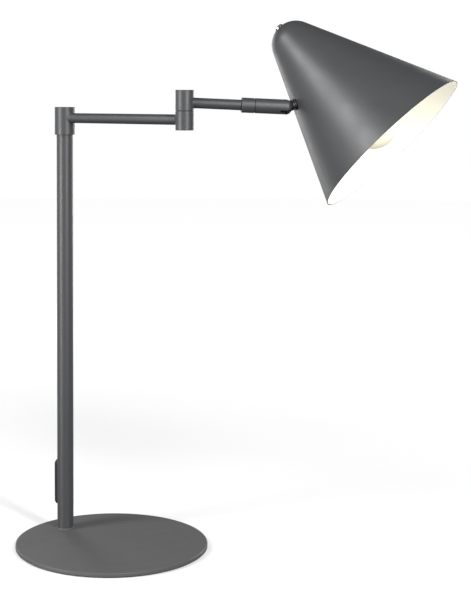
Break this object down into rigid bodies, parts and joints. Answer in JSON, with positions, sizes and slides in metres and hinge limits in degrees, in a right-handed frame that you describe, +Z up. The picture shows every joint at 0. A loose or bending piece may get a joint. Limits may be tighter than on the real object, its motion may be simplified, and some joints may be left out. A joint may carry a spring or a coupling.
{
  "type": "architect desk lamp",
  "caption": "Desk lamp on a round base: stem with rocker switch, two-part swinging arm, roll-and-tilt knuckle and a conical shade over a screw-in bulb.",
  "frame": {"origin": "centre of the underside of the base, on the surface it stands on", "axes": "+Z up; +X from the stem towards the front of the base, along the lower arm at rest; the switch faces -X"},
  "size_m": [0.4759, 0.3732, 0.6277],
  "materials": {
    "base_coat": "fine matt powder coat",
    "arm_coat": "fine matt powder coat",
    "shade_coat": "fine matt powder coat outside, cream enamel inside",
    "steel": "zinc plated",
    "nickel": "satin nickel plate",
    "brass": "plain",
    "black_plastic": "fine spark texture",
    "black_steel": "black oxide",
    "white_plastic": "smooth",
    "nylon": "smooth",
    "rubber": "matt",
    "pad_foam": "closed-cell foam",
    "lead_jacket": "PVC jacket",
    "bulb_glass": "opal"
  },
  "bodies": {
    "base": {"base_plate": "base_coat", "base_pad": "pad_foam", "cord_grommet": "rubber", "base_nipple": "steel", "base_washer": "steel", "base_nut": "steel", "stem_foot": "base_coat", "stem_tube": "arm_coat", "switch_housing": "black_plastic", "switch_pin": "steel", "switch_terminals": "brass", "stem_top_plug": "steel", "stem_thrust_washer": "nylon", "stem_spring_washer": "steel", "stem_nut": "brass", "stem_lead": "lead_jacket"},
    "rocker": {"switch_rocker": "black_plastic"},
    "lower_arm": {"stem_collar": "arm_coat", "collar_bush": "arm_coat", "stem_collar_cap": "arm_coat", "lower_arm_tube": "arm_coat", "elbow_lower_collar": "arm_coat", "elbow_lower_cap": "arm_coat", "elbow_pivot": "steel", "elbow_seam_washer": "black_plastic", "elbow_spring_washer": "steel", "elbow_nut": "brass", "lower_arm_lead": "lead_jacket"},
    "upper_arm": {"elbow_upper_collar": "arm_coat", "elbow_upper_cap": "arm_coat", "upper_arm_tube": "arm_coat", "arm_end_sleeve": "steel", "knuckle_ring": "arm_coat", "upper_arm_lead": "lead_jacket"},
    "knuckle": {"knuckle_fork": "arm_coat", "tilt_screw": "black_steel", "roll_washer": "steel", "roll_nut": "brass", "knuckle_lead": "lead_jacket"},
    "head": {"hinge_tongue": "black_steel", "stud_flange": "black_plastic", "stud_saddle": "black_plastic", "stud_nut": "steel", "shade": "shade_coat", "tip_screw": "nickel", "tip_washer": "steel", "holder_spacer": "steel", "holder_cap": "white_plastic", "holder_insert": "white_plastic", "holder_contact": "brass", "holder_thread": "brass", "holder_skirt": "white_plastic", "bulb_glass": "bulb_glass", "bulb_cap": "nickel", "bulb_insulator": "black_plastic", "bulb_contact": "steel", "head_lead": "lead_jacket"}
  },
  "joints": [
    {"name": "switch_rock", "type": "hinge", "parent": "base", "child": "rocker", "pos_m": [-0.0898, 0, 0.0633], "axis": [0, -1, 0], "range_deg": [0, 7]},
    {"name": "stem_swivel", "type": "hinge", "parent": "base", "child": "lower_arm", "pos_m": [-0.079, 0, 0.5132], "axis": [0, 0, 1], "range_deg": [-165, 165]},
    {"name": "elbow_swivel", "type": "hinge", "parent": "lower_arm", "child": "upper_arm", "pos_m": [0.1135, 0, 0.5232], "axis": [0, 0, 1], "range_deg": [-150, 75]},
    {"name": "head_roll", "type": "hinge", "parent": "upper_arm", "child": "knuckle", "pos_m": [0.16843, 0.05668, 0.52929], "axis": [0.6953, 0.7175, -0.0419], "range_deg": [-130, 150]},
    {"name": "head_tilt", "type": "hinge", "parent": "knuckle", "child": "head", "pos_m": [0.19269, 0.08172, 0.52783], "axis": [0.5867, -0.533, 0.6096], "range_deg": [-53, 16]}
  ]
}
